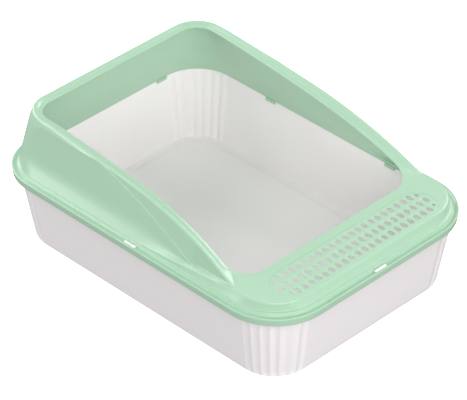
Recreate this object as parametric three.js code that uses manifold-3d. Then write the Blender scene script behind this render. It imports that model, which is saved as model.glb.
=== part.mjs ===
// Semi-open cat litter box: a tapered pan with fluted corners, and a tall mint-green
// guard frame that drops over its rim and carries a low perforated step at the front.
// Millimetres, +Z up. Origin: middle of the flat underside. +Y is the high back wall,
// -Y the step. Every outline is an offset r of one core rectangle with square corners,
// so a rounded outline has half width CORE_X + r, half length CORE_Y + r and radius r.
import * as THREE from "three";
import { mergeVertices } from "three/addons/utils/BufferGeometryUtils.js";
import Module from "manifold-3d";

const wasm = await Module();
wasm.setup();

// ---- driving dimensions -------------------------------------------------
const CORE_X = 114.6;            // core rectangle, half width
const CORE_Y = 182.3;            // core rectangle, half length
const SKIRT_R = 67.7;            // frame skirt: 364.6 x 500 mm outside
const SKIRT_LOW = 94;
const FLANGE_TOP = 104;
const WALL = 2.4;                // frame wall thickness
const GAP = 0.3;                 // clearance between pieces
const STEP_EDGE_R = 58.6;        // small step all round the foot of the walls
const STEP_EDGE_Z = 107.2;
const RIM_HIGH = 184;            // rim of the back wall
const DECK_Z = 119;              // top of the front step
const LEAN = 0.177;              // walls lean in by this much per mm of height
const RIM_R = 39.8;              // outer edge of the rim at its highest
const RIM_ROUND = 3.5;           // rounding from the wall onto the rim
const RIM_DROP = 3.2;            // the rim's inner edge lies lower by this much behind,
const RIM_DROP_MORE = 2.2;       // and by this much more towards the front
const WALL_CORNER_R = 39;        // the walls' back corners, tighter than the skirt's
const RIM_TURN = 4;              // depth of the turned-down inner edge
const MOUTH_BACK_R = 26.5;       // the cat's opening, corner radii
const MOUTH_FRONT_R = 33;
const MOUTH_FRONT_Y = -130;      // centres of the opening's front corners
const RIB_R = 57.1;              // locating rib that drops inside the pan
const RIB_LOW = 98;
const STEP_CORNER_R = 50;        // the step's outer edge round its corners
const STEP_FOOT_R = 51.6;        // the step's crisp outer edge
const STEP_FOOT_Z = 117.2;
const FLARE_Z = 126;             // top of the soft flare at the foot of the back wall

const FLOOR_CORE_X = 109.6;      // the pan's core shrinks towards its floor
const FLOOR_CORE_Y = 176.8;
const PAN_FOOT_R = 48.9;
const PAN_TOP_R = 59.6;
const PAN_TOP = 101.4;
const PAN_WALL = 2.2;
const FLUTES = 7;                // per corner
const FLUTE_PITCH = THREE.MathUtils.degToRad(12.4);
const FLUTE_DEPTH = 1.3;
const FLUTE_STEPS = 3;           // stations per flute
const CORNER_STEPS = Math.round(Math.PI / 2 / (FLUTE_PITCH / FLUTE_STEPS));
const CHANNEL_Z = 3;             // shallow channel round the pan's floor
const FLOOR_Z = 4.2;

const GRILLE_X = 135;            // perforated tread, racetrack outline
const GRILLE_R = 26;
const GRILLE_Y = -203.3;
const GRILLE_T = 2.4;
const TREAD_LIP = 1.1;           // lip that rests on the seat's ledge
const SEAT_LEDGE = 1.5;
const HOLE_PITCH = 11.43;
const ROW_PITCH = 16.5;
const HOLE_COLUMNS = 23;         // in the middle row; the outer rows end in a small hole
const HOLE_RADII = [3, 5];
const END_HOLE = [124.6, 14];    // middle of each small hole, from the plate's middle
const END_HOLE_RADII = [2.2, 2.8];

const TONGUE_W = 19;             // snap tongues at the middle of each side
const TONGUE_OUT = 2.7;          // measured inwards from the skirt's outer face
const TONGUE_IN = 6.5;
const TONGUE_RISE = 1.2;         // stands this far above the flange
const CATCH_W = 16;              // short catches below the locating rib
const CATCH_LOW = 94.5;
const CATCH_AT = 104;
const CATCH_INSET = 1.4;         // keeps the catches off the sloping pan wall

const { lerp, clamp } = THREE.MathUtils;

// ---- solids -------------------------------------------------------------
function solidOf(geometry) {
  const bare = geometry.clone();
  bare.deleteAttribute("normal");
  bare.deleteAttribute("uv");
  const merged = mergeVertices(bare, 1e-4);
  return new wasm.Manifold(new wasm.Mesh({
    numProp: 3,
    vertProperties: new Float32Array(merged.attributes.position.array),
    triVerts: new Uint32Array(merged.index.array),
  }));
}

function geometryOf(solid) {
  const mesh = solid.getMesh();
  const geometry = new THREE.BufferGeometry();
  geometry.setAttribute("position", new THREE.BufferAttribute(mesh.vertProperties, 3));
  geometry.setIndex(new THREE.BufferAttribute(mesh.triVerts, 1));
  geometry.computeVertexNormals();
  return geometry;
}

// Quads between neighbouring rings; caps are fans about a centre point.
function skin(rings, { closed = false, caps = [] } = {}) {
  const n = rings[0].length;
  const points = rings.flat();
  const index = [];
  const last = closed ? rings.length : rings.length - 1;
  for (let i = 0; i < last; i += 1) {
    const a = i * n;
    const b = ((i + 1) % rings.length) * n;
    for (let j = 0; j < n; j += 1) {
      const k = (j + 1) % n;
      index.push(a + j, a + k, b + k, a + j, b + k, b + j);
    }
  }
  for (const { ring, centre, up } of caps) {
    const c = points.push(centre) - 1;
    for (let j = 0; j < n; j += 1) {
      const k = (j + 1) % n;
      if (up) index.push(ring * n + j, ring * n + k, c);
      else index.push(ring * n + k, ring * n + j, c);
    }
  }
  const geometry = new THREE.BufferGeometry();
  geometry.setAttribute("position", new THREE.Float32BufferAttribute(points.flat(), 3));
  geometry.setIndex(index);
  return geometry;
}

function box(x0, x1, y0, y1, z0, z1) {
  const geometry = new THREE.BoxGeometry(x1 - x0, y1 - y0, z1 - z0);
  geometry.translate((x0 + x1) / 2, (y0 + y1) / 2, (z0 + z1) / 2);
  return geometry;
}

function racetrack(halfLength, radius) {
  const shape = new THREE.Shape();
  shape.absarc(halfLength - radius, 0, radius, -Math.PI / 2, Math.PI / 2, false);
  shape.absarc(-halfLength + radius, 0, radius, Math.PI / 2, 1.5 * Math.PI, false);
  shape.closePath();
  return shape;
}

// ---- stations round the outline, anticlockwise from above ----------------
function arc(cx, cy, from, steps, place) {
  return Array.from({ length: steps }, (_, i) => {
    const t = i / steps;
    const a = from + t * Math.PI / 2;
    return place({ cx, cy, nx: Math.cos(a), ny: Math.sin(a), a: t * Math.PI / 2 });
  });
}

const at = ({ cx, cy, nx, ny }, r, z) => [cx + nx * r, cy + ny * r, z];

// ---- pan ------------------------------------------------------------------
function panStations() {
  const unit = (s) => ({ ...s, sx: Math.sign(s.cx), sy: Math.sign(s.cy) });
  const corners = [[1, 1, 0], [-1, 1, Math.PI / 2], [-1, -1, Math.PI], [1, -1, 1.5 * Math.PI]];
  const sides = [[0, 1, -1, 0], [-1, 0, 0, -1], [0, -1, 1, 0], [1, 0, 0, 1]];
  return corners.flatMap(([sx, sy, from], i) => {
    const [nx, ny] = sides[i];
    return [...arc(sx, sy, from, CORNER_STEPS, unit),
      { ...unit({ cx: sx, cy: sy, nx, ny }), a: -1 },
      { nx, ny, a: -1, sx: nx, sy: ny }];
  });
}

function fluteDip(a) {
  if (a < 0) return 0;
  const fromMiddle = (a - Math.PI / 4) / FLUTE_PITCH + FLUTES / 2;
  if (fromMiddle <= 0 || fromMiddle >= FLUTES) return 0;
  return FLUTE_DEPTH * Math.sin(Math.PI * (fromMiddle % 1));
}

function panRing(stations, r, z, fluted, coreZ = z) {
  const t = Math.min(coreZ / PAN_TOP, 1);
  const halfX = FLOOR_CORE_X + (CORE_X - FLOOR_CORE_X) * t;
  const halfY = FLOOR_CORE_Y + (CORE_Y - FLOOR_CORE_Y) * t;
  return stations.map((s) => {
    const dip = fluted * fluteDip(s.a);
    const cx = s.sx * halfX;
    const cy = s.sy * halfY;
    return at({ cx, cy, nx: s.nx, ny: s.ny }, r - dip, z);
  });
}

const panOuterR = (z) => PAN_FOOT_R + (PAN_TOP_R - PAN_FOOT_R) * (z / PAN_TOP);

function makePan() {
  const stations = panStations();
  const lip = SKIRT_R - WALL - 0.5;
  const channel = (inset, z, fluted = 0) => panRing(stations, PAN_FOOT_R - inset, z, fluted, CHANNEL_Z);
  const outer = (z, f = 1) => panRing(stations, panOuterR(z), z, f);
  const inner = (z, f = 1) => panRing(stations, panOuterR(z) - PAN_WALL, z, f);
  const rings = [
    panRing(stations, PAN_FOOT_R - 4, 0, 0, 0),
    panRing(stations, PAN_FOOT_R - 1.2, 1.2, 0.4, 0),
    outer(4),
    outer(90),
    outer(93, 0.3),
    outer(96.5, 0),
    panRing(stations, lip - 2, 98.2, 0),
    panRing(stations, lip - 2, 95.5, 0),
    panRing(stations, lip, 95.5, 0),
    panRing(stations, lip, 99.6, 0),
    panRing(stations, lip - 1.8, PAN_TOP, 0),
    panRing(stations, RIB_R + GAP + 0.2, PAN_TOP, 0),
    panRing(stations, RIB_R + GAP, 97, 0),
    inner(93, 0.3),
    inner(90),
    inner(8),
    channel(4.4, 4, 0.5),
    channel(6.5, CHANNEL_Z),
    channel(14.5, CHANNEL_Z),
    channel(16, FLOOR_Z),
  ];
  return skin(rings, {
    caps: [
      { ring: 0, centre: [0, 0, 0], up: false },
      { ring: rings.length - 1, centre: [0, 0, FLOOR_Z], up: true },
    ],
  });
}

// ---- frame ----------------------------------------------------------------
// Height of the outer edge of the rim along the side walls: nearly level behind,
// then falling in a steepening curve, and straight down onto the step.
const RIM_BACK_Y = 165;
const RIM_FALL_Y = 40;
const RIM_STRAIGHT_Y = -121;
const REAR_SLOPE = 0.078;
const STRAIGHT_SLOPE = 0.45;
const FALL_2 = 0.000773;
const FALL_3 = 9.4e-7;

function rimZ(y) {
  const rear = REAR_SLOPE * clamp(RIM_BACK_Y - y, 0, RIM_BACK_Y - RIM_STRAIGHT_Y);
  const d = clamp(RIM_FALL_Y - y, 0, RIM_FALL_Y - RIM_STRAIGHT_Y);
  const straight = STRAIGHT_SLOPE * Math.max(RIM_STRAIGHT_Y - y, 0);
  return Math.max(RIM_HIGH - rear - FALL_2 * d ** 2 - FALL_3 * d ** 3 - straight, DECK_Z);
}

// Two creases on each side wall: one from the rim down to the step's edge, and one
// where the step's edge grows out of the foot of the wall.
function creaseZ(y) {
  const d = Math.max(0, 75 - y);
  return 176 - 0.22 * d - 0.0006 * d * d;
}

const CREASE_BACK_Z = 170;

const smooth = (t) => clamp(t, 0, 1) ** 2 * (3 - 2 * clamp(t, 0, 1));
const stepGrowth = (y) => smooth((-20 - y) / 100) ** 0.8;
const rimDrop = (y) => RIM_DROP + RIM_DROP_MORE * smooth((120 - y) / 120);
const leanR = (z) => RIM_R + LEAN * (RIM_HIGH - z);

// Each station joins a point of the outer outline to a point of the opening's outline.
// The outline is symmetric, so only the right-hand half is laid out, from the middle of
// the front to the middle of the back.
const SIDE_YS = [-119, -105, -85, -65, -45, -25, -5, 15, 35, 55, 75, 95, 120, 150, CORE_Y];
const FRONT_XS = [0, 38, 76, CORE_X];
const BACK_XS = [57, 0];
const CORNER_FAN = 12;
const SLIDE_FROM_Y = 80;

function frameStations() {
  const quarter = Math.PI / 2;
  const bend = quarter * STEP_CORNER_R;
  const run = CORE_Y + MOUTH_FRONT_Y + bend;
  const same = (s) => ({ slideX: 0, slideY: 0, ...s, ix: s.cx, iy: s.cy, inx: s.nx, iny: s.ny });
  const front = FRONT_XS.map((x) => (
    { ...same({ cx: x, cy: -CORE_Y, nx: 0, ny: -1 }), iy: MOUTH_FRONT_Y }
  ));
  const frontCorner = Array.from({ length: CORNER_FAN }, (_, i) => {
    const t = (i + 1) / CORNER_FAN;
    const turn = Math.min(run * t / STEP_CORNER_R, quarter);
    return {
      cx: CORE_X, cy: -CORE_Y + Math.max(0, run * t - bend), nx: Math.sin(turn), ny: -Math.cos(turn),
      ix: CORE_X, iy: MOUTH_FRONT_Y, inx: Math.sin(quarter * t), iny: -Math.cos(quarter * t),
      slideX: 0, slideY: 0,
    };
  });
  const side = SIDE_YS.map((y) => same({
    cx: CORE_X, cy: y, nx: 1, ny: 0, slideY: smooth((y - SLIDE_FROM_Y) / (CORE_Y - SLIDE_FROM_Y)),
  }));
  const backCorner = Array.from({ length: CORNER_FAN }, (_, i) => {
    const a = quarter * (i + 1) / CORNER_FAN;
    return same({
      cx: CORE_X, cy: CORE_Y, nx: Math.cos(a), ny: Math.sin(a), slideX: 1, slideY: 1,
    });
  });
  const back = BACK_XS.map((x) => same({
    cx: x, cy: CORE_Y, nx: 0, ny: 1, slideX: x / CORE_X, slideY: 1,
  }));
  const half = [...front, ...frontCorner, ...side, ...backCorner, ...back];
  const mirrored = half.slice(1, -1).reverse().map((s) => ({
    ...s, cx: -s.cx, nx: -s.nx, ix: -s.ix, inx: -s.inx, slideX: -s.slideX,
  }));
  return [...half, ...mirrored];
}

// A point at offset r whose outline has corners of radius rho instead of r: the corner's
// centre slides outwards, and the straight sides next to it stretch to meet it.
function outlinePoint(s, r, z, rho) {
  const [x, y] = at(s, r, z);
  return [
    x + (r - rho) * (1 - Math.abs(s.nx)) * s.slideX,
    y + (r - rho) * (1 - Math.abs(s.ny)) * s.slideY,
    z,
  ];
}

// Closed cross-section, from the skirt's foot up the outside, over the rim, down the
// inside and back along the underside of the flange.
function frameSection(s) {
  const mouth = { cx: s.ix, cy: s.iy, nx: s.inx, ny: s.iny };
  const out = (r, z) => at(s, r, z);
  const wall = (r, z) => outlinePoint(s, r, z, WALL_CORNER_R);
  const inn = (r, z) => at(mouth, r, z);
  const isBack = s.cy >= CORE_Y;
  const yOut = s.cy + s.ny * STEP_CORNER_R;
  const yIn = s.iy + s.iny * MOUTH_FRONT_R;
  const forward = clamp(yIn / MOUTH_FRONT_Y, 0, 1);
  const growth = isBack ? 0 : stepGrowth(yOut);
  const zR = isBack ? RIM_HIGH : rimZ(yOut);
  const rimR = leanR(zR) - 0.8;
  // foot of the wall: a soft flare behind, the step's crisp edge in front
  const footR = lerp(STEP_EDGE_R - 0.4, STEP_FOOT_R, growth);
  const footZ = lerp(STEP_EDGE_Z + 0.4, STEP_FOOT_Z, growth);
  const flareR = lerp(leanR(FLARE_Z), lerp(footR, rimR, 0.35), growth);
  const flareZ = lerp(FLARE_Z, lerp(footZ, zR - 1, 0.5), growth);
  // crease across the side wall
  const zC = Math.min(Math.max(isBack ? CREASE_BACK_Z : creaseZ(yOut), flareZ + 0.3), zR - 1.1);
  const rC = zC > flareZ + 0.5 ? leanR(zC) : lerp(flareR, rimR, 0.4);
  // turned-in rim: its inner edge lies a little lower, except where it meets the step
  const drop = clamp((rimZ(yIn) - DECK_Z) / 12, 0, 1) * rimDrop(yIn);
  const mouthR = lerp(MOUTH_BACK_R, MOUTH_FRONT_R, forward ** 1.5);
  const zI = isBack ? RIM_HIGH - RIM_DROP : rimZ(yIn) - drop;
  const under = FLANGE_TOP - WALL;
  return [
    out(SKIRT_R, SKIRT_LOW),
    out(SKIRT_R, FLANGE_TOP - 1.8),
    out(SKIRT_R - 0.6, FLANGE_TOP - 0.5),
    out(SKIRT_R - 2, FLANGE_TOP),
    out(STEP_EDGE_R + 2.6, FLANGE_TOP + 0.2),
    out(STEP_EDGE_R + 1.4, STEP_EDGE_Z - 1),
    out(STEP_EDGE_R, STEP_EDGE_Z),
    out(footR, footZ),
    wall(flareR, flareZ),
    wall(rC, zC),
    wall(rimR, zR - 0.9),
    wall(rimR - RIM_ROUND, zR),
    inn(mouthR + 1.6, zI + 0.6),
    inn(mouthR, zI - 0.6),
    inn(mouthR, zI - RIM_TURN),
    inn(mouthR + WALL, zI - RIM_TURN),
    inn(mouthR + WALL, Math.min(zI - 2, zR - WALL)),
    wall(rimR - WALL - 0.4, zR - WALL - 0.6),
    wall(rC - WALL, Math.min(zC - 0.9, zR - WALL - 1)),
    wall(flareR - WALL - 0.2, Math.min(flareZ - 1.2, zR - WALL - 1.5)),
    out(RIB_R - 1.2, under + 4.6),
    out(RIB_R - WALL + 0.4, RIB_LOW),
    out(RIB_R, RIB_LOW),
    out(RIB_R, under),
    out(SKIRT_R - WALL, under),
    out(SKIRT_R - WALL, SKIRT_LOW),
  ];
}

const SIDES = { right: [1, 0], left: [-1, 0], back: [0, 1], front: [0, -1] };

// A block against one side of the box: `across` runs along that side, `inner` and
// `outer` are measured from the middle of the box, `z` is its height range.
function sideBlock([nx, ny], across, [inner, outer], [z0, z1]) {
  const depth = nx + ny > 0 ? [inner, outer] : [-outer, -inner];
  const [xs, ys] = nx ? [depth, across] : [across, depth];
  return box(...xs, ...ys, z0, z1);
}

const reachOf = ([nx]) => (nx ? CORE_X : CORE_Y);

function tongueBox(side, grow) {
  const half = TONGUE_W / 2 + grow;
  const reach = reachOf(side) + SKIRT_R;
  return sideBlock(side, [-half, half],
    [reach - TONGUE_IN - grow, reach - TONGUE_OUT + grow],
    [PAN_TOP + GAP - grow, FLANGE_TOP + TONGUE_RISE + grow]);
}

function frameCatches() {
  return Object.values(SIDES).flatMap((side) => [-CATCH_AT, CATCH_AT].map((middle) => {
    const outer = reachOf(side) + RIB_R - CATCH_INSET;
    return sideBlock(side, [middle - CATCH_W / 2, middle + CATCH_W / 2],
      [outer - WALL, outer], [CATCH_LOW, RIB_LOW + 1]);
  }));
}

function treadCut(inset, z0) {
  const cut = new THREE.ExtrudeGeometry(racetrack(GRILLE_X - inset, GRILLE_R - inset), {
    depth: 20, bevelEnabled: false, curveSegments: 10,
  });
  cut.translate(0, GRILLE_Y, z0);
  return solidOf(cut);
}

function makeFrame() {
  const stations = frameStations();
  const sections = stations.map(frameSection);
  const rings = sections[0].map((_, k) => sections.map((sec) => sec[k]));
  let frame = solidOf(skin(rings, { closed: true }));
  for (const piece of frameCatches()) frame = frame.add(solidOf(piece));
  for (const side of Object.values(SIDES)) frame = frame.subtract(solidOf(tongueBox(side, GAP)));
  const seat = treadCut(-GAP, DECK_Z - TREAD_LIP - GAP);
  const through = treadCut(SEAT_LEDGE, DECK_Z - 3 * WALL);
  return geometryOf(frame.subtract(seat).subtract(through));
}

function treadHoles() {
  const holes = [];
  for (let row = -1; row <= 1; row += 1) {
    const columns = row === 0 ? HOLE_COLUMNS : HOLE_COLUMNS - 2;
    for (let i = 0; i < columns; i += 1) {
      holes.push([(i - (columns - 1) / 2) * HOLE_PITCH, row * ROW_PITCH, ...HOLE_RADII]);
    }
  }
  for (const sx of [-1, 1]) {
    for (const sy of [-1, 1]) holes.push([sx * END_HOLE[0], sy * END_HOLE[1], ...END_HOLE_RADII]);
  }
  return holes;
}

function treadPlate(inset, z0, z1) {
  const shape = racetrack(GRILLE_X - inset, GRILLE_R - inset);
  for (const [x, y, rx, ry] of treadHoles()) {
    const hole = new THREE.Path();
    hole.absellipse(x, y, rx, ry, 0, 2 * Math.PI, true);
    shape.holes.push(hole);
  }
  const plate = new THREE.ExtrudeGeometry(shape, {
    depth: z1 - z0, bevelEnabled: false, curveSegments: 4,
  });
  plate.translate(0, GRILLE_Y, z0);
  return solidOf(plate);
}

function makeGrille() {
  const lip = treadPlate(0, DECK_Z - TREAD_LIP, DECK_Z);
  const body = treadPlate(SEAT_LEDGE + GAP, DECK_Z - GRILLE_T, DECK_Z - TREAD_LIP);
  return geometryOf(lip.add(body));
}

// ---- assembly --------------------------------------------------------------
const white = new THREE.MeshStandardMaterial({ color: 0xe6e2de, roughness: 0.45, metalness: 0 });
const mint = new THREE.MeshStandardMaterial({ color: 0xbde4c6, roughness: 0.42, metalness: 0 });

const object = new THREE.Group();

function addMesh(name, geometry, material) {
  const mesh = new THREE.Mesh(geometry, material);
  mesh.name = name;
  object.add(mesh);
}

addMesh("litter_pan", geometryOf(solidOf(makePan())), white);
addMesh("guard_frame", makeFrame(), mint);
addMesh("step_grille", geometryOf(solidOf(makeGrille())), mint);
Object.entries(SIDES).forEach(([name, side]) => {
  addMesh(`snap_tongue_${name}`, tongueBox(side, 0), white);
});

export default object;
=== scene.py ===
# Semi-open cat litter box: white pan with fluted corners, mint guard frame over its rim.
# Every outline is an offset r of one core rectangle, so a rounded outline has the half
# sizes of the core plus r, and corners of radius r. Shapes are worked out in millimetres.
import math

import bmesh
import bpy
from mathutils import Matrix, Vector


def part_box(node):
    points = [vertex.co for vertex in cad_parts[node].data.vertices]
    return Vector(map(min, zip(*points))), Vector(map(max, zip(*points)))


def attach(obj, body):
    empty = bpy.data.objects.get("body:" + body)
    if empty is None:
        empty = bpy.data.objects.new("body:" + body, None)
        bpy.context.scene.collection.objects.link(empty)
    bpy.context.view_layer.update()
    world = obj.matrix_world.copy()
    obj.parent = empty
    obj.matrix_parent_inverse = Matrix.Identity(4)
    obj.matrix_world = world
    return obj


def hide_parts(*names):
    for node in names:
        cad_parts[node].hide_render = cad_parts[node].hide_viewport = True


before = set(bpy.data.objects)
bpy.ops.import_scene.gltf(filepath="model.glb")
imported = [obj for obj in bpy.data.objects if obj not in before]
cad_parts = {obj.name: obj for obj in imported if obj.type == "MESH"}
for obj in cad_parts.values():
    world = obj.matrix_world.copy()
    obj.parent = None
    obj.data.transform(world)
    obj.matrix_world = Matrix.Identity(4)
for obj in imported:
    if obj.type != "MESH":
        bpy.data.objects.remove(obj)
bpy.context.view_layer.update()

MM = 0.001


def node_size(name):
    low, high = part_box(name)
    return Vector(low) / MM, Vector(high) / MM


FRAME_HIGH = node_size("guard_frame")[1]
PAN_HIGH = node_size("litter_pan")[1]
TREAD_LOW, TREAD_HIGH = node_size("step_grille")

# ---- driving sizes, millimetres -------------------------------------------
SKIRT_R = 67.7               # outside of the frame's skirt
CORE_X = FRAME_HIGH.x - SKIRT_R
CORE_Y = FRAME_HIGH.y - SKIRT_R
SKIRT_LOW = 94.0
FLANGE_TOP = 104.0
WALL = 2.4
STEP_EDGE_R = 58.6           # small step that stands on the flange
STEP_EDGE_Z = 107.2
RIM_HIGH = FRAME_HIGH.z
DECK_Z = TREAD_HIGH.z
LEAN = 0.177                 # the walls lean inwards by this much for each unit of height
RIM_R = 39.8
RIM_DROP = 3.2               # the rim's inner edge lies lower than its outer one
RIM_DROP_MORE = 2.2          # and lower again along the sides
WALL_CORNER_R = 39.0
MOUTH_BACK_R = 26.5
MOUTH_FRONT_R = 33.0
MOUTH_FRONT_Y = -130.0
RIB_R = 57.1                 # locating rib that drops inside the pan
RIB_LOW = 98.0
STEP_CORNER_R = 50.0
NOSE_EASE = 8.0              # the flange's two front corners are this much rounder
STEP_FOOT_R = 51.6           # foot of the walls beside the step
STEP_FOOT_Z = 117.2
FLARE_Z = 126.0              # top of the soft flare at the walls' foot
CREASE_BACK_Z = 170.0
CATCH_W = 16.0               # short catches below the locating rib
CATCH_LOW = 94.5
CATCH_AT = 104.0
CATCH_INSET = 1.4
GAP = 0.3                    # clearance between pieces

FLOOR_CORE_X = 109.6         # the pan's core is smaller at the floor than at the rim
FLOOR_CORE_Y = 176.8
PAN_FOOT_R = 48.9
PAN_TOP_R = 59.6
PAN_TOP = PAN_HIGH.z
PAN_WALL = 2.2
PAN_FLOOR_Z = 4.2
CHANNEL_Z = 2.3              # shallow channel round the floor
LIP_R = SKIRT_R - WALL - 0.5
LIP_SKIN = 2.0
LIP_UNDER = 98.2
LIP_LOW = 95.5
FLUTES = 7
FLUTE_PITCH = math.radians(12.4)
FLUTE_DEPTH = 1.7
FLUTE_FADE_FOOT = 5.0        # the flutes fade in up to this height
FLUTE_FADE_TOP = (90.0, 96.5)

TREAD_X = TREAD_HIGH.x
TREAD_R = (TREAD_HIGH.y - TREAD_LOW.y) / 2
TREAD_Y = (TREAD_HIGH.y + TREAD_LOW.y) / 2
TREAD_LIP = 1.1              # lip that rests on the seat's ledge
SEAT_LEDGE = 1.5
SEAM = 0.12
TREAD_SHEET = 0.6
TREAD_RING = 0.9
TREAD_BEVEL = 0.25
SLOT_COLUMNS = 23            # in the middle row; the outer rows end in a small hole
COLUMN_PITCH = 11.43
ROW_PITCH = 16.5
SLOT_HALF = (3.35, 5.6)
END_HOLE_AT = (124.6, 14)    # from the plate's middle
END_HOLE_HALF = (2.4, 3.1)


def lerp(a, b, t):
    return a + (b - a) * t


def clamp(v, low=0.0, high=1.0):
    return min(max(v, low), high)


def smooth(t):
    t = clamp(t)
    return t * t * (3 - 2 * t)


# ---- guard frame: one cross-section swept round the box ---------------------
def rim_z(y):
    """Height of the rim's outer edge: nearly level behind, falling to the step."""
    rear = 0.078 * clamp(165 - y, 0, 286)
    d = clamp(40 - y, 0, 161)
    straight = 0.45 * max(-121 - y, 0)
    return max(RIM_HIGH - rear - 0.000773 * d**2 - 9.4e-7 * d**3 - straight, DECK_Z)


def rim_drop(y):
    return RIM_DROP + RIM_DROP_MORE * smooth((120 - y) / 120)


def crease_z(y):
    """The crease that runs down each side wall, from the rim to the step's edge."""
    d = max(0.0, 75 - y)
    return 176 - 0.23 * d - 0.00076 * d * d


def step_growth(y):
    """0 where the wall has a soft flare at its foot, 1 where the step has its edge."""
    return clamp((-10 - y) / 148)


def lean_r(z):
    return RIM_R + LEAN * (RIM_HIGH - z)


def spread(a, b, n):
    return [lerp(a, b, i / n) for i in range(n)]


def frame_stations():
    """Each joins a point of the outer outline to one of the opening's outline."""
    half = []

    def add(cx, cy, nx, ny, mouth=None, slide=(0.0, 0.0), nose=(0.0, 0.0)):
        ix, iy, inx, iny = mouth or (cx, cy, nx, ny)
        half.append(dict(cx=cx, cy=cy, nx=nx, ny=ny, ix=ix, iy=iy, inx=inx, iny=iny,
                         slide=slide, nose=nose))

    for x in spread(0, CORE_X, 10):
        add(x, -CORE_Y, 0, -1, (x, MOUTH_FRONT_Y, 0, -1), nose=(x / CORE_X, -1.0))
    fan = 56
    bend = math.pi / 2 * STEP_CORNER_R
    run = CORE_Y + MOUTH_FRONT_Y + bend
    for i in range(fan + 1):
        t = i / fan
        turn = min(run * t / STEP_CORNER_R, math.pi / 2)
        a = math.pi / 2 * t
        along = max(0.0, run * t - bend)
        add(CORE_X, -CORE_Y + along, math.sin(turn), -math.cos(turn),
            (CORE_X, MOUTH_FRONT_Y, math.sin(a), -math.cos(a)),
            nose=(1.0, along / (run - bend) - 1.0))
    for y in spread(MOUTH_FRONT_Y, CORE_Y, 90)[1:]:
        add(CORE_X, y, 1, 0, slide=(0.0, smooth((y - 80) / (CORE_Y - 80))))
    for i in range(33):
        a = math.pi / 2 * i / 32
        add(CORE_X, CORE_Y, math.cos(a), math.sin(a), slide=(1.0, 1.0))
    for x in spread(CORE_X, 0, 8)[1:] + [0.0]:
        add(x, CORE_Y, 0, 1, slide=(x / CORE_X, 1.0))
    left = []
    for s in reversed(half[1:-1]):
        m = dict(s)
        for key in ("cx", "nx", "ix", "inx"):
            m[key] = -s[key]
        m["slide"] = (-s["slide"][0], s["slide"][1])
        m["nose"] = (-s["nose"][0], s["nose"][1])
        left.append(m)
    return half + left


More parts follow.
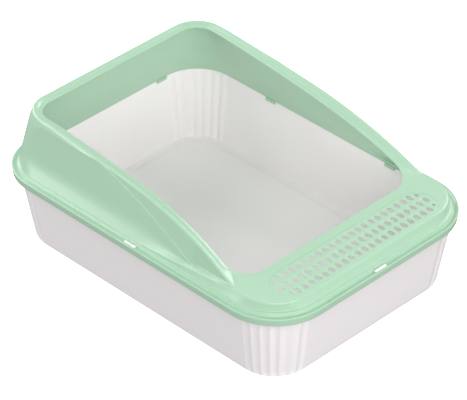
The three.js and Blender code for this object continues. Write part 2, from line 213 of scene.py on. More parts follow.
def frame_section(s):
    """Control points (x, y, z, rounding) of one closed cross-section. Rounding is the
    length in millimetres that the round takes from the straight on either side."""

    def out(r, z, soft=0.0, rho=None):
        spare = 0.0 if rho is None else r - rho
        return (s["cx"] + s["nx"] * r + spare * (1 - abs(s["nx"])) * s["slide"][0],
                s["cy"] + s["ny"] * r + spare * (1 - abs(s["ny"])) * s["slide"][1], z, soft)

    def wall(r, z, soft=0.0):
        return out(r, z, soft, WALL_CORNER_R)

    def flange(r, z, soft=0.0):
        return (s["cx"] + s["nx"] * r - NOSE_EASE * (1 - abs(s["nx"])) * s["nose"][0],
                s["cy"] + s["ny"] * r - NOSE_EASE * (1 - abs(s["ny"])) * s["nose"][1], z, soft)

    def inn(r, z, soft=0.0):
        return (s["ix"] + s["inx"] * r, s["iy"] + s["iny"] * r, z, soft)

    back = s["cy"] >= CORE_Y - 1e-6
    y_out = s["cy"] + s["ny"] * STEP_CORNER_R
    y_in = s["iy"] + s["iny"] * MOUTH_FRONT_R
    forward = clamp(y_in / MOUTH_FRONT_Y)
    growth = 0.0 if back else step_growth(y_out)
    z_r = RIM_HIGH if back else rim_z(y_out)
    rim_r = lean_r(z_r) - 0.8
    foot_r = lerp(STEP_EDGE_R - 0.4, STEP_FOOT_R, growth)
    foot_z = lerp(STEP_EDGE_Z + 0.4, STEP_FOOT_Z, growth)
    high = clamp((z_r - DECK_Z) / 14)          # 0 on the step, 1 on the walls
    bead = clamp(3 * growth) * high
    flare_z = min(lerp(FLARE_Z, foot_z + 2.5, clamp(2 * growth)), lerp(foot_z, z_r - 1, 0.5))
    flare_r = lerp(lerp(foot_r, rim_r, 0.35), lean_r(flare_z) - 0.5 * bead, high)
    z_c = min(max(CREASE_BACK_Z if back else crease_z(y_out), flare_z + 0.3), z_r - 1.1)
    r_c = lean_r(z_c) if z_c > flare_z + 0.5 else lerp(flare_r, rim_r, 0.4)
    drop = clamp((rim_z(y_in) - DECK_Z) / 12) * rim_drop(y_in)
    mouth_r = lerp(MOUTH_BACK_R, MOUTH_FRONT_R, forward**1.5)
    z_i = RIM_HIGH - RIM_DROP if back else rim_z(y_in) - drop
    under = FLANGE_TOP - WALL
    groove = lerp(0.2, 1.3, growth)
    step = 0.0 if back else clamp((75 - y_out) / 20) * clamp((z_r - z_c - 1.5) / 3)
    ledge = clamp((-15 - y_in) / 85)          # the inner step shows only towards the front
    return [
        flange(SKIRT_R - 1.2, SKIRT_LOW, 0.4),
        flange(SKIRT_R, FLANGE_TOP, 1.5),
        flange(SKIRT_R - 2.9, FLANGE_TOP, 0.9),
        flange(SKIRT_R - 4.8, FLANGE_TOP - groove, 0.6),
        flange(STEP_EDGE_R + 1.5, FLANGE_TOP - groove, 0.6),
        flange(STEP_EDGE_R + 0.4, STEP_EDGE_Z - 0.3, 0.5),
        flange(STEP_EDGE_R - 0.4, STEP_EDGE_Z, 0.5),
        flange(lerp(STEP_EDGE_R - 0.8, STEP_EDGE_R - 2.6, growth), STEP_EDGE_Z + 0.3 * growth, 0.6 * growth),
        out(foot_r + 1.0 * bead, foot_z, lerp(0.8, 1.2, growth) - 0.4 * bead),
        out(foot_r - 0.7 * bead, foot_z + 0.8 * bead, 0.3 * bead),
        wall(flare_r, flare_z, lerp(9.0, 1.0, clamp(2 * growth))),
        wall(r_c, z_c, 0.5),
        wall(r_c - 1.1 * step, z_c + 0.6 * step, 0.4),
        wall(rim_r, z_r - lerp(0.5, 0.2, high), lerp(1.6, 3.0, high)),
        wall(rim_r - 3.4, z_r, 1.4),
        inn(mouth_r + 5.2, z_i + 1.4 * high, 0.6),
        inn(mouth_r + 4.4, z_i + 0.5 * high, 0.5),
        inn(mouth_r + 3.4, z_i + 0.7 * high, 0.6),
        inn(mouth_r, z_i, 1.2),
        inn(mouth_r, z_i - 1.7, 0.4),
        inn(mouth_r + 1.5, z_i - 1.8, 0.4),
        inn(mouth_r + WALL + 0.6, min(z_i - 1.9, z_r - WALL), 0.4),
        wall(rim_r - WALL - 0.4, z_r - WALL - 0.6, 1.0),
        wall(r_c - WALL, min(z_c - 0.9, z_r - WALL - 1), 0.5),
        wall(flare_r - WALL - 0.2, min(flare_z - 1.2, z_r - WALL - 1.5), 3.0),
        flange(lerp(51.5, 56.4, ledge), under + lerp(9.0, 2.0, ledge), lerp(6.0, 0.4, ledge)),
        flange(lerp(53.4, 53.3, ledge), under + lerp(4.0, 1.6, ledge), lerp(2.0, 0.4, ledge)),
        flange(lerp(54.2, 53.5, ledge), under + lerp(2.0, 0.6, ledge), 0.4),
        flange(lerp(54.5, 55.6, ledge), under + lerp(0.5, 0.0, ledge), 0.4),
        flange(RIB_R - WALL + 0.4, RIB_LOW, 0.4),
        flange(RIB_R, RIB_LOW, 0.4),
        flange(RIB_R, under, 0.3),
        flange(SKIRT_R - WALL, under, 0.3),
        flange(SKIRT_R - WALL - 0.6, SKIRT_LOW, 0.4),
    ]


ROUND_STEPS = 4


def rounded_loop(points):
    """Replaces each control point with a short curve between points on its two sides."""
    ring = []
    count = len(points)
    for i, (x, y, z, soft) in enumerate(points):
        p = Vector((x, y, z))
        before = Vector(points[i - 1][:3])
        after = Vector(points[(i + 1) % count][:3])
        a = min(soft, 0.45 * (before - p).length)
        b = min(soft, 0.45 * (after - p).length)
        start = p + (before - p).normalized() * a if a > 1e-6 else p
        end = p + (after - p).normalized() * b if b > 1e-6 else p
        for k in range(ROUND_STEPS + 1):
            t = k / ROUND_STEPS
            ring.append(start * (1 - t) ** 2 + p * 2 * t * (1 - t) + end * t * t)
    return ring


# ---- meshes ------------------------------------------------------------------
def mesh_object(name, points, faces):
    mesh = bpy.data.meshes.new(name)
    mesh.from_pydata([tuple(c * MM for c in p) for p in points], [], faces)
    mesh.validate()
    obj = bpy.data.objects.new(name, mesh)
    bpy.context.scene.collection.objects.link(obj)
    return obj


def loft(name, rings, closed, cap_ends=False):
    """Quads between neighbouring rings of equal length."""
    n = len(rings[0])
    points = [p for ring in rings for p in ring]
    faces = []
    for i in range(len(rings) if closed else len(rings) - 1):
        a, b = i * n, ((i + 1) % len(rings)) * n
        for j in range(n):
            k = (j + 1) % n
            faces.append((a + j, a + k, b + k, b + j))
    if cap_ends:
        faces.append(tuple(range(n - 1, -1, -1)))
        faces.append(tuple(range((len(rings) - 1) * n, len(rings) * n)))
    return mesh_object(name, points, faces)


def tidy(obj, sharp_degrees=35):
    """Merges doubles, turns faces outwards, smooths all but the sharp edges."""
    bm = bmesh.new()
    bm.from_mesh(obj.data)
    bmesh.ops.remove_doubles(bm, verts=bm.verts, dist=2e-6)
    bmesh.ops.dissolve_degenerate(bm, edges=bm.edges, dist=1e-6)
    bmesh.ops.recalc_face_normals(bm, faces=bm.faces)
    bm.to_mesh(obj.data)
    bm.free()
    obj.data.shade_smooth()
    obj.data.set_sharp_from_angle(angle=math.radians(sharp_degrees))
    obj.data.update()


def block(name, x, y, z, round_mm=0.0, segments=3):
    """A block between the given ranges, its edges rounded."""
    bm = bmesh.new()
    bmesh.ops.create_cube(bm, size=1.0)
    for v in bm.verts:
        v.co = Vector((lerp(*x, v.co.x + 0.5), lerp(*y, v.co.y + 0.5), lerp(*z, v.co.z + 0.5))) * MM
    if round_mm:
        bmesh.ops.bevel(bm, geom=bm.edges[:], offset=round_mm * MM, segments=segments,
                        affect="EDGES", profile=0.5)
    mesh = bpy.data.meshes.new(name)
    bm.to_mesh(mesh)
    bm.free()
    obj = bpy.data.objects.new(name, mesh)
    bpy.context.scene.collection.objects.link(obj)
    return obj


def merged(name, parts):
    """Joins separate closed objects into one, without a boolean."""
    bm = bmesh.new()
    for part in parts:
        bm.from_mesh(part.data)
        bpy.data.objects.remove(part)
    mesh = bpy.data.meshes.new(name)
    bm.to_mesh(mesh)
    bm.free()
    obj = bpy.data.objects.new(name, mesh)
    bpy.context.scene.collection.objects.link(obj)
    return obj


def combine(obj, parts, operation):
    """Boolean of obj with separate closed parts, which are used up."""
    other = merged("tool", parts)
    modifier = obj.modifiers.new("cut", "BOOLEAN")
    modifier.operation = operation
    modifier.solver = "MANIFOLD"
    modifier.object = other
    bpy.context.view_layer.update()
    result = bpy.data.meshes.new_from_object(
        obj.evaluated_get(bpy.context.evaluated_depsgraph_get()))
    obj.modifiers.clear()
    obj.data = result
    bpy.data.objects.remove(other)


def racetrack_ring(half_length, radius, y, z, steps=24):
    ring = []
    for side, start in ((1, -math.pi / 2), (-1, math.pi / 2)):
        for i in range(steps + 1):
            a = start + math.pi * i / steps
            ring.append((side * (half_length - radius) + radius * math.cos(a),
                         y + radius * math.sin(a), z))
    return ring


# ---- pieces --------------------------------------------------------------------
SIDES = {"right": (1, 0), "left": (-1, 0), "back": (0, 1), "front": (0, -1)}


def side_ranges(side, across, depth):
    """x and y ranges of a block against one side, depth measured from the middle."""
    nx, ny = SIDES[side]
    d = depth if nx + ny > 0 else (-depth[1], -depth[0])
    return (d, across) if nx else (across, d)


def reach_of(side):
    return CORE_X if SIDES[side][0] else CORE_Y


def build_frame():
    rings = [rounded_loop(frame_section(s)) for s in frame_stations()]
    obj = loft("guard_frame_shell", rings, closed=True)
    tidy(obj)
    catches, cuts = [], []
    for side in SIDES:
        outer = reach_of(side) + RIB_R - CATCH_INSET
        for middle in (-CATCH_AT, CATCH_AT):
            x, y = side_ranges(side, (middle - CATCH_W / 2, middle + CATCH_W / 2),
                               (outer - WALL, outer))
            catches.append(block("catch", x, y, (CATCH_LOW, RIB_LOW + 1), 0.5))
        low, high = node_size("snap_tongue_" + side)
        cuts.append(block("window", (low.x - GAP, high.x + GAP), (low.y - GAP, high.y + GAP),
                          (low.z - GAP, high.z + GAP)))
    combine(obj, catches, "UNION")
    seat = DECK_Z - TREAD_LIP - GAP
    steps = ((SEAT_LEDGE, DECK_Z - 3 * WALL), (SEAT_LEDGE, seat), (-SEAM, seat), (-SEAM, DECK_Z + 6))
    cuts.append(loft("tread_seat", [racetrack_ring(TREAD_X - inset, TREAD_R - inset, TREAD_Y, z)
                                    for inset, z in steps], closed=False, cap_ends=True))
    combine(obj, cuts, "DIFFERENCE")
    tidy(obj)
    return obj


# ---- Geometry Nodes ---------------------------------------------------------------
class Tree:
    """A node tree with named inputs; nodes are placed left to right as they are made."""

    def __init__(self, name, inputs):
        self.tree = bpy.data.node_groups.new(name, "GeometryNodeTree")
        self.keys = {}
        for label, kind, default in inputs:
            socket = self.tree.interface.new_socket(label, in_out="INPUT", socket_type=kind)
            if default is not None:
                socket.default_value = default
            self.keys[label] = socket.identifier
        self.tree.interface.new_socket("Geometry", in_out="OUTPUT", socket_type="NodeSocketGeometry")
        self.start = self.tree.nodes.new("NodeGroupInput")
        self.count = 0

    def __getitem__(self, label):
        return self.start.outputs[label]

    def node(self, kind, *values, **settings):
        node = self.tree.nodes.new(kind)
        self.count += 1
        node.location = (180 * self.count, -160 * (self.count % 5))
        named = settings.pop("named", {})
        for key, value in settings.items():
            setattr(node, key, value)
        for slot, value in list(enumerate(values)) + list(named.items()):
            if value is None:
                continue
            if isinstance(value, bpy.types.NodeSocket):
                self.tree.links.new(value, node.inputs[slot])
            else:
                node.inputs[slot].default_value = value
        return node

    def math(self, operation, *values):
        return self.node("ShaderNodeMath", *values, operation=operation).outputs[0]

    def finish(self, geometry, material):
        real = self.node("GeometryNodeRealizeInstances", geometry).outputs[0]
        last = self.node("GeometryNodeSetMaterial", real, None, material).outputs[0]
        end = self.tree.nodes.new("NodeGroupOutput")
        end.location = (180 * self.count + 200, 0)
        self.tree.links.new(last, end.inputs[0])
        return self


def bake(obj, tree, values):
    """Runs a tree on obj with the named values, and keeps its result as a plain mesh."""
    modifier = obj.modifiers.new("shape", "NODES")
    modifier.node_group = tree.tree
    for label, value in values.items():
        modifier[tree.keys[label]] = value
    bpy.context.view_layer.update()
    mesh = bpy.data.meshes.new_from_object(
        obj.evaluated_get(bpy.context.evaluated_depsgraph_get()))
    obj.modifiers.clear()
    obj.data = mesh
    return obj


def flute_tree():
    """Presses a row of upright flutes into each rounded corner of a pan."""
    number = "NodeSocketFloat"
    t = Tree("corner flutes", [
        ("Geometry", "NodeSocketGeometry", None), ("Flutes", number, 7.0),
        ("Pitch", number, 0.2), ("Depth", number, 0.001),
        ("Low core X", number, 0.1), ("Low core Y", number, 0.1),
        ("High core X", number, 0.1), ("High core Y", number, 0.1), ("Pan height", number, 0.1),
        ("Fade at foot", number, 0.005), ("Fade from", number, 0.09), ("Fade to", number, 0.096),
        ("Material", "NodeSocketMaterial", None)])
    at = t.node("ShaderNodeSeparateXYZ", t.node("GeometryNodeInputPosition").outputs[0]).outputs
    up = t.math("DIVIDE", at[2], t["Pan height"])

    def past_core(axis, low, high):
        core = t.math("MULTIPLY_ADD", up, t.math("SUBTRACT", t[high], t[low]), t[low])
        return t.math("MAXIMUM", t.math("SUBTRACT", t.math("ABSOLUTE", at[axis]), core), 0.0)

    ex = past_core(0, "Low core X", "High core X")
    ey = past_core(1, "Low core Y", "High core Y")
    angle = t.math("ARCTAN2", ey, ex)
    turns = t.math("DIVIDE", t.math("SUBTRACT", angle, math.pi / 4), t["Pitch"])
    half = t.math("MULTIPLY", t["Flutes"], 0.5)
    inside = t.math("LESS_THAN", t.math("ABSOLUTE", turns), half)
    wave = t.math("ABSOLUTE", t.math("SINE", t.math("MULTIPLY", t.math("ADD", turns, half), math.pi)))

    def fade(low, high):
        return t.node("ShaderNodeMapRange", at[2], low, high, interpolation_type="SMOOTHSTEP").outputs[0]

    foot = fade(0.0005, t["Fade at foot"])
    top = t.math("SUBTRACT", 1.0, fade(t["Fade from"], t["Fade to"]))
    depth = t.math("MULTIPLY", t.math("MULTIPLY", wave, inside), t.math("MULTIPLY", foot, top))
    depth = t.math("MULTIPLY", depth, t["Depth"])

    def pull(axis, angle_of):
        side = t.math("SIGN", at[axis])
        outward = t.math("MULTIPLY", side, t.math(angle_of, angle))
        return t.math("MULTIPLY", outward, t.math("MULTIPLY", depth, -1.0))

    offset = t.node("ShaderNodeCombineXYZ", pull(0, "COSINE"), pull(1, "SINE"), 0.0).outputs[0]
    moved = t.node("GeometryNodeSetPosition", t["Geometry"], None, None, offset).outputs[0]
    return t.finish(moved, t["Material"])


def tread_tree():
    """A racetrack plate with rows of oval slots; the outer rows end in a small hole."""
    number = "NodeSocketFloat"
    t = Tree("perforated plate", [
        ("Half length", number, 0.1), ("End radius", number, 0.02), ("Middle Y", number, 0.0),
        ("Low Z", number, 0.0), ("Thickness", number, 0.002), ("Columns", "NodeSocketInt", 23),
        ("Column pitch", number, 0.011), ("Row pitch", number, 0.016),
        ("Slot half width", number, 0.003), ("Slot half length", number, 0.005),
        ("End hole X", number, 0.1), ("End hole Y", number, 0.014),
        ("End hole half width", number, 0.002), ("End hole half length", number, 0.003),
        ("Material", "NodeSocketMaterial", None)])
    outline = t.node("GeometryNodeCurvePrimitiveQuadrilateral",
                     t.math("MULTIPLY", t["Half length"], 2.0),
                     t.math("MULTIPLY", t["End radius"], 2.0)).outputs[0]
    outline = t.node("GeometryNodeFilletCurve", outline, mode="POLY",
                     named={"Count": 20, "Radius": t.math("MULTIPLY", t["End radius"], 0.9999)}).outputs[0]

    def ovals(points, half_width, half_length):
        ring = t.node("GeometryNodeCurvePrimitiveCircle", named={"Resolution": 20, "Radius": 1.0}).outputs[0]
        size = t.node("ShaderNodeCombineXYZ", half_width, half_length, 1.0).outputs[0]
        placed = t.node("GeometryNodeInstanceOnPoints", named={
            "Points": points, "Instance": ring, "Scale": size}).outputs[0]
        return t.node("GeometryNodeRealizeInstances", placed).outputs[0]

    def grid(columns, rows, x_pitch, y_pitch):
        steps_x = t.math("SUBTRACT", columns, 1.0)
        steps_y = t.math("SUBTRACT", rows, 1.0)
        return t.node("GeometryNodeMeshGrid", t.math("MULTIPLY", x_pitch, steps_x),
                      t.math("MULTIPLY", y_pitch, steps_y), columns, rows).outputs[0]

    outer_columns = t.math("SUBTRACT", t["Columns"], 2.0)
    double_row = t.math("MULTIPLY", t["Row pitch"], 2.0)
    slot_size = (t["Slot half width"], t["Slot half length"])
    slots = [
        ovals(grid(t["Columns"], 1, t["Column pitch"], 0.0), *slot_size),
        ovals(grid(outer_columns, 2, t["Column pitch"], double_row), *slot_size),
        ovals(grid(2, 2, t.math("MULTIPLY", t["End hole X"], 2.0), t.math("MULTIPLY", t["End hole Y"], 2.0)),
              t["End hole half width"], t["End hole half length"])]
    joined = t.node("GeometryNodeJoinGeometry")
    for part in [outline] + slots:
        t.tree.links.new(part, joined.inputs[0])
    sheet = t.node("GeometryNodeFillCurve", joined.outputs[0]).outputs[0]
    low = t.node("ShaderNodeCombineXYZ", 0.0, t["Middle Y"], t["Low Z"]).outputs[0]
    sheet = t.node("GeometryNodeTransform", sheet, named={"Translation": low}).outputs[0]
    rise = t.node("ShaderNodeCombineXYZ", 0.0, 0.0, t["Thickness"]).outputs[0]
    solid = t.node("GeometryNodeExtrudeMesh", sheet, named={
        "Offset": rise, "Offset Scale": 1.0, "Individual": False}).outputs[0]
    both = t.node("GeometryNodeJoinGeometry")
    t.tree.links.new(solid, both.inputs[0])
    t.tree.links.new(t.node("GeometryNodeFlipFaces", sheet).outputs[0], both.inputs[0])
    closed = t.node("GeometryNodeMergeByDistance", both.outputs[0], named={"Distance": 0.000002}).outputs[0]
    return t.finish(closed, t["Material"])


# ---- pan -------------------------------------------------------------------------
def pan_stations():
    """Unit core offsets and outward direction all round, finely spaced in the corners."""
    stations = []
    steps = 96
    for k, (sx, sy) in enumerate(((1, 1), (-1, 1), (-1, -1), (1, -1))):
        for i in range(steps + 1):
            a = math.pi / 2 * (k + i / steps)
            stations.append((sx, sy, math.cos(a), math.sin(a)))
        sx2, sy2 = ((-1, 1), (-1, -1), (1, -1), (1, 1))[k]
        a = math.pi / 2 * (k + 1)
        for i in range(1, 8):
            t = i / 8
            stations.append((lerp(sx, sx2, t), lerp(sy, sy2, t), math.cos(a), math.sin(a)))
    return stations


def pan_r(z):
    return lerp(PAN_FOOT_R, PAN_TOP_R, z / PAN_TOP)


def rounded_profile(points):
    """Profile of (r, z, core height, rounding), with its corners rounded."""
    line = []
    for i, (r, z, core, soft) in enumerate(points):
        p = Vector((r, z))
        if soft == 0 or i in (0, len(points) - 1):
            line.append((r, z, core))
            continue
        before = Vector(points[i - 1][:2]) - p
        after = Vector(points[i + 1][:2]) - p
        a, b = min(soft, 0.45 * before.length), min(soft, 0.45 * after.length)
        start, end = p + before.normalized() * a, p + after.normalized() * b
        for k in range(ROUND_STEPS + 1):
            t = k / ROUND_STEPS
            q = start * (1 - t) ** 2 + p * 2 * t * (1 - t) + end * t * t
            line.append((q.x, q.y, core))
    return line


def build_pan(material):
    """The pan's shell. Each profile point names the height that its core is taken at, or
    None where that is its own height."""
    points = [
        (PAN_FOOT_R - 30, 0.0, 0.0, 0), (PAN_FOOT_R - 6, 0.0, 0.0, 0),
        (pan_r(0) - 0.2, 0.0, 0.0, 3.5)]
    points += [(pan_r(z), z, None, 0) for z in (5, 8, 20, 35, 50, 65, 80, 86, 89, 92, 94, 96)]
    points += [
        (pan_r(98), LIP_UNDER, None, 0.6), (LIP_R - LIP_SKIN, LIP_UNDER, None, 0),
        (LIP_R - LIP_SKIN, LIP_LOW, None, 0), (LIP_R, LIP_LOW, None, 0),
        (LIP_R, PAN_TOP, None, 2.0), (RIB_R + GAP, PAN_TOP, None, 1.0)]
    points += [(pan_r(z) - PAN_WALL, z, None, 0)
               for z in (97, 95, 93, 91, 88, 80, 65, 50, 35, 20, 12, 8)]
    points += [
        (pan_r(5.2) - PAN_WALL, 3.0, 3.0, 2.6), (PAN_FOOT_R - 8.0, CHANNEL_Z, 3.0, 1.5),
        (PAN_FOOT_R - 13.6, CHANNEL_Z, 3.0, 1.0), (PAN_FOOT_R - 15.4, PAN_FLOOR_Z, 3.0, 1.0),
        (PAN_FOOT_R - 24, PAN_FLOOR_Z, 3.0, 0)]
    stations = pan_stations()
    rings = []
    for r, z, core in rounded_profile(points):
        t = clamp((z if core is None else core) / PAN_TOP)
        hx, hy = lerp(FLOOR_CORE_X, CORE_X, t), lerp(FLOOR_CORE_Y, CORE_Y, t)
        ring = []
        for sx, sy, nx, ny in stations:
            ease = NOSE_EASE * abs(nx * ny) if sy < 0 and r > PAN_TOP_R + 1 else 0.0
            ring.append((sx * hx + nx * (r - ease), sy * hy + ny * (r - ease), z))
        rings.append(ring)
    obj = loft("litter_pan_shell", rings, closed=False, cap_ends=True)
    bake(obj, flute_tree(), {
        "Flutes": float(FLUTES), "Pitch": FLUTE_PITCH, "Depth": FLUTE_DEPTH * MM,
        "Low core X": FLOOR_CORE_X * MM, "Low core Y": FLOOR_CORE_Y * MM,
        "High core X": CORE_X * MM, "High core Y": CORE_Y * MM, "Pan height": PAN_TOP * MM,
        "Fade at foot": FLUTE_FADE_FOOT * MM,
        "Fade from": FLUTE_FADE_TOP[0] * MM, "Fade to": FLUTE_FADE_TOP[1] * MM,
        "Material": material})
    tidy(obj, 30)
    return obj


def build_tread(material):
    """The perforated plate, and the ring under it that drops into the frame's seat."""
    plate = bake(mesh_object("step_grille_plate", [(0, 0, 0)], []), tread_tree(), {
        "Half length": TREAD_X * MM, "End radius": TREAD_R * MM, "Middle Y": TREAD_Y * MM,
        "Low Z": (DECK_Z - TREAD_SHEET) * MM, "Thickness": TREAD_SHEET * MM,
        "Columns": SLOT_COLUMNS, "Column pitch": COLUMN_PITCH * MM, "Row pitch": ROW_PITCH * MM,
        "Slot half width": SLOT_HALF[0] * MM, "Slot half length": SLOT_HALF[1] * MM,
        "End hole X": END_HOLE_AT[0] * MM, "End hole Y": END_HOLE_AT[1] * MM,
        "End hole half width": END_HOLE_HALF[0] * MM,
        "End hole half length": END_HOLE_HALF[1] * MM,
        "Material": material})
    outer, inner = SEAT_LEDGE + GAP, SEAT_LEDGE + GAP + TREAD_RING
    low, high = TREAD_LOW.z, DECK_Z - TREAD_SHEET + 0.05
    ring = loft("ring", [racetrack_ring(TREAD_X - inset, TREAD_R - inset, TREAD_Y, z)
                         for inset, z in ((outer, low), (outer, high), (inner, high), (inner, low))],
                closed=True)
    bm = bmesh.new()
    bm.from_mesh(plate.data)
    bmesh.ops.recalc_face_normals(bm, faces=bm.faces)
    rim = [e for e in bm.edges if len(e.link_faces) == 2
           and e.calc_face_angle() > 1.0 and min(v.co.z for v in e.verts) > (DECK_Z - 0.1) * MM]
    bmesh.ops.bevel(bm, geom=rim, offset=TREAD_BEVEL * MM, segments=2, affect="EDGES", profile=0.5)
    bm.from_mesh(ring.data)
    bm.to_mesh(plate.data)
    bm.free()
    bpy.data.objects.remove(ring)
    tidy(plate)
    return plate


def build_tongue(side):
    low, high = node_size("snap_tongue_" + side)
    obj = block("snap_tongue_" + side + "_moulding", (low.x, high.x), (low.y, high.y),
                (low.z, high.z), 1.0, 4)
    tidy(obj, 50)
    return obj


# ---- materials --------------------------------------------------------------------
def moulded_group():
    """Fine grain and a faint unevenness of tone, as injection-moulded plastic has."""
    group = bpy.data.node_groups.new("moulded surface", "ShaderNodeTree")
    face = group.interface
    for label, default in (("Grain scale", 900.0), ("Mottle scale", 9.0), ("Mottle", 0.02),
                           ("Roughness", 0.4), ("Roughness spread", 0.05)):
        face.new_socket(label, in_out="INPUT", socket_type="NodeSocketFloat").default_value = default
    for label in ("Tone", "Roughness", "Height"):
        face.new_socket(label, in_out="OUTPUT", socket_type="NodeSocketFloat")
    nodes, links = group.nodes, group.links
    start, end = nodes.new("NodeGroupInput"), nodes.new("NodeGroupOutput")
    place = nodes.new("ShaderNodeTexCoord")

    def noise(scale, detail):
        n = nodes.new("ShaderNodeTexNoise")
        n.inputs["Detail"].default_value = detail
        links.new(place.outputs["Object"], n.inputs["Vector"])
        links.new(start.outputs[scale], n.inputs["Scale"])
        return n.outputs["Fac"]

    def math_node(operation, a, b):
        n = nodes.new("ShaderNodeMath")
        n.operation = operation
        for slot, value in enumerate((a, b)):
            if isinstance(value, bpy.types.NodeSocket):
                links.new(value, n.inputs[slot])
            else:
                n.inputs[slot].default_value = value
        return n.outputs[0]

    grain = noise("Grain scale", 3.0)
    mottle = noise("Mottle scale", 4.0)
    centred = math_node("SUBTRACT", mottle, 0.5)
    uneven = math_node("MULTIPLY", centred, start.outputs["Mottle"])
    links.new(math_node("ADD", 1.0, uneven), end.inputs["Tone"])
    spread_of = math_node("MULTIPLY", math_node("SUBTRACT", grain, 0.5), start.outputs["Roughness spread"])
    links.new(math_node("ADD", start.outputs["Roughness"], spread_of), end.inputs["Roughness"])
    links.new(grain, end.inputs["Height"])
    return group


def plastic(name, colour, surface, roughness, mottle, bump, **sockets):
    material = bpy.data.materials.new(name)
    material.use_nodes = True
    nodes, links = material.node_tree.nodes, material.node_tree.links
    shader = nodes["Principled BSDF"]
    group = nodes.new("ShaderNodeGroup")
    group.node_tree = surface
    group.inputs["Roughness"].default_value = roughness
    group.inputs["Mottle"].default_value = mottle
    tint = nodes.new("ShaderNodeVectorMath")
    tint.operation = "SCALE"
    tint.inputs[0].default_value = colour
    links.new(group.outputs["Tone"], tint.inputs["Scale"])
    links.new(tint.outputs[0], shader.inputs["Base Color"])
    links.new(group.outputs["Roughness"], shader.inputs["Roughness"])
    grain = nodes.new("ShaderNodeBump")
    grain.inputs["Strength"].default_value = bump
    grain.inputs["Distance"].default_value = 0.0002
    links.new(group.outputs["Height"], grain.inputs["Height"])
    links.new(grain.outputs[0], shader.inputs["Normal"])
    for label, value in sockets.items():
        shader.inputs[label.replace("_", " ")].default_value = value
    return material


SURFACE = moulded_group()
MINT = plastic("mint satin plastic", (0.40, 0.612, 0.4475), SURFACE, roughness=0.33,
               mottle=0.03, bump=0.15, Coat_Weight=0.25, Coat_Roughness=0.2)
WHITE = plastic("warm white satin plastic", (0.902, 0.865, 0.871), SURFACE, roughness=0.42,
                mottle=0.02, bump=0.12, Coat_Weight=0.1, Coat_Roughness=0.3)


# ---- putting it together ------------------------------------------------------------
def settle(obj, body, slot, material, *nodes):
    obj.data.materials.clear()
    obj.data.materials.append(material)
    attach(obj, body)
    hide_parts(*nodes)


settle(build_pan(WHITE), "pan", "white_plastic", WHITE, "litter_pan")
for side in SIDES:
    settle(build_tongue(side), "pan", "white_plastic", WHITE, "snap_tongue_" + side)
settle(build_frame(), "frame", "mint_plastic", MINT, "guard_frame")
settle(build_tread(MINT), "grille", "mint_plastic", MINT, "step_grille")


# ---- stage, lights, camera ------------------------------------------------------------
FLOOR_HALF = 4000            # millimetres, with the floor just under the part
FLOOR_Z = -0.05
LAMP_DISTANCE = 2.2          # metres, from a point at LAMP_AIM_Z above the floor
LAMP_AIM_Z = 0.1
LAMPS = (                    # name, azimuth, elevation, width in metres, watts
    ("front", 0, 35, 1.3, 11.0),
    ("front_left", -45, 38, 1.3, 13.5),
    ("back", 180, 30, 1.3, 26.0),
    ("right", 90, 30, 1.3, 20.0),
    ("low_front", 0, 10, 0.8, 8.0),
    ("low_front_left", -45, 12, 0.8, 11.0),
    ("low_back_left", -130, 10, 0.8, 13.0),
    ("high_back_left", -150, 46, 0.5, 4.0),
    ("high_right", 55, 46, 0.35, 3.5))
WORLD_STRENGTH = 0.33
CAMERA_AZIMUTH, CAMERA_ELEVATION = -45.0, 35.82
CAMERA_DISTANCE = 4069       # millimetres, then the two shifts across the view
CAMERA_RIGHT, CAMERA_UP = -1.22, 63.93
CAMERA_SENSOR = 36.0
CAMERA_LENS = 250.6124


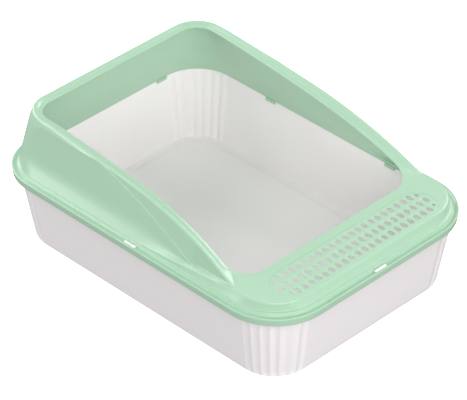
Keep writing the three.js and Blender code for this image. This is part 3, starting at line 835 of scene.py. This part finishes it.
def add_floor():
    """A pale floor that glows a little and doesn't light or mirror in the part."""
    corners = ((-1, -1), (1, -1), (1, 1), (-1, 1))
    floor = mesh_object("floor", [(x * FLOOR_HALF, y * FLOOR_HALF, FLOOR_Z) for x, y in corners],
                        [(0, 1, 2, 3)])
    material = bpy.data.materials.new("pale floor")
    material.use_nodes = True
    shader = material.node_tree.nodes["Principled BSDF"]
    shader.inputs["Base Color"].default_value = (0.9, 0.9, 0.9, 1)
    shader.inputs["Roughness"].default_value = 0.9
    shader.inputs["Emission Color"].default_value = (1, 1, 1, 1)
    shader.inputs["Emission Strength"].default_value = 1.0
    floor.data.materials.append(material)
    floor.visible_diffuse = False
    floor.visible_glossy = False


def direction(azimuth, elevation):
    """Unit vector towards a light: azimuth 0 is the front, 90 the right-hand side."""
    a, e = math.radians(azimuth), math.radians(elevation)
    return Vector((math.sin(a) * math.cos(e), -math.cos(a) * math.cos(e), math.sin(e)))


def add_light(name, azimuth, elevation, size, watts):
    lamp = bpy.data.lights.new(name, "AREA")
    lamp.shape = "DISK"
    lamp.size = size
    lamp.energy = watts
    obj = bpy.data.objects.new(name, lamp)
    bpy.context.scene.collection.objects.link(obj)
    towards = direction(azimuth, elevation)
    obj.location = towards * LAMP_DISTANCE + Vector((0, 0, LAMP_AIM_Z))
    obj.rotation_euler = towards.to_track_quat("Z", "Y").to_euler()


def add_camera():
    """A long lens, level, from above the left front corner."""
    cam = bpy.data.cameras.new("camera")
    cam.sensor_width = CAMERA_SENSOR
    cam.lens = CAMERA_LENS
    cam.clip_end = 50
    obj = bpy.data.objects.new("camera", cam)
    bpy.context.scene.collection.objects.link(obj)
    back = direction(CAMERA_AZIMUTH, CAMERA_ELEVATION)
    turn = math.radians(CAMERA_AZIMUTH)
    right = Vector((math.cos(turn), math.sin(turn), 0))
    up = back.cross(right)
    obj.matrix_world = Matrix((
        (right.x, up.x, back.x, 0), (right.y, up.y, back.y, 0), (right.z, up.z, back.z, 0),
        (0, 0, 0, 1)))
    obj.location = (back * CAMERA_DISTANCE + right * CAMERA_RIGHT + up * CAMERA_UP) * MM
    bpy.context.scene.camera = obj


add_floor()
add_camera()
world = bpy.data.worlds.new("studio")
bpy.context.scene.world = world
world.use_nodes = True
world.node_tree.nodes["Background"].inputs["Color"].default_value = (1, 1, 1, 1)
world.node_tree.nodes["Background"].inputs["Strength"].default_value = WORLD_STRENGTH
for lamp in LAMPS:
    add_light(*lamp)
bpy.context.scene.view_settings.view_transform = "Standard"
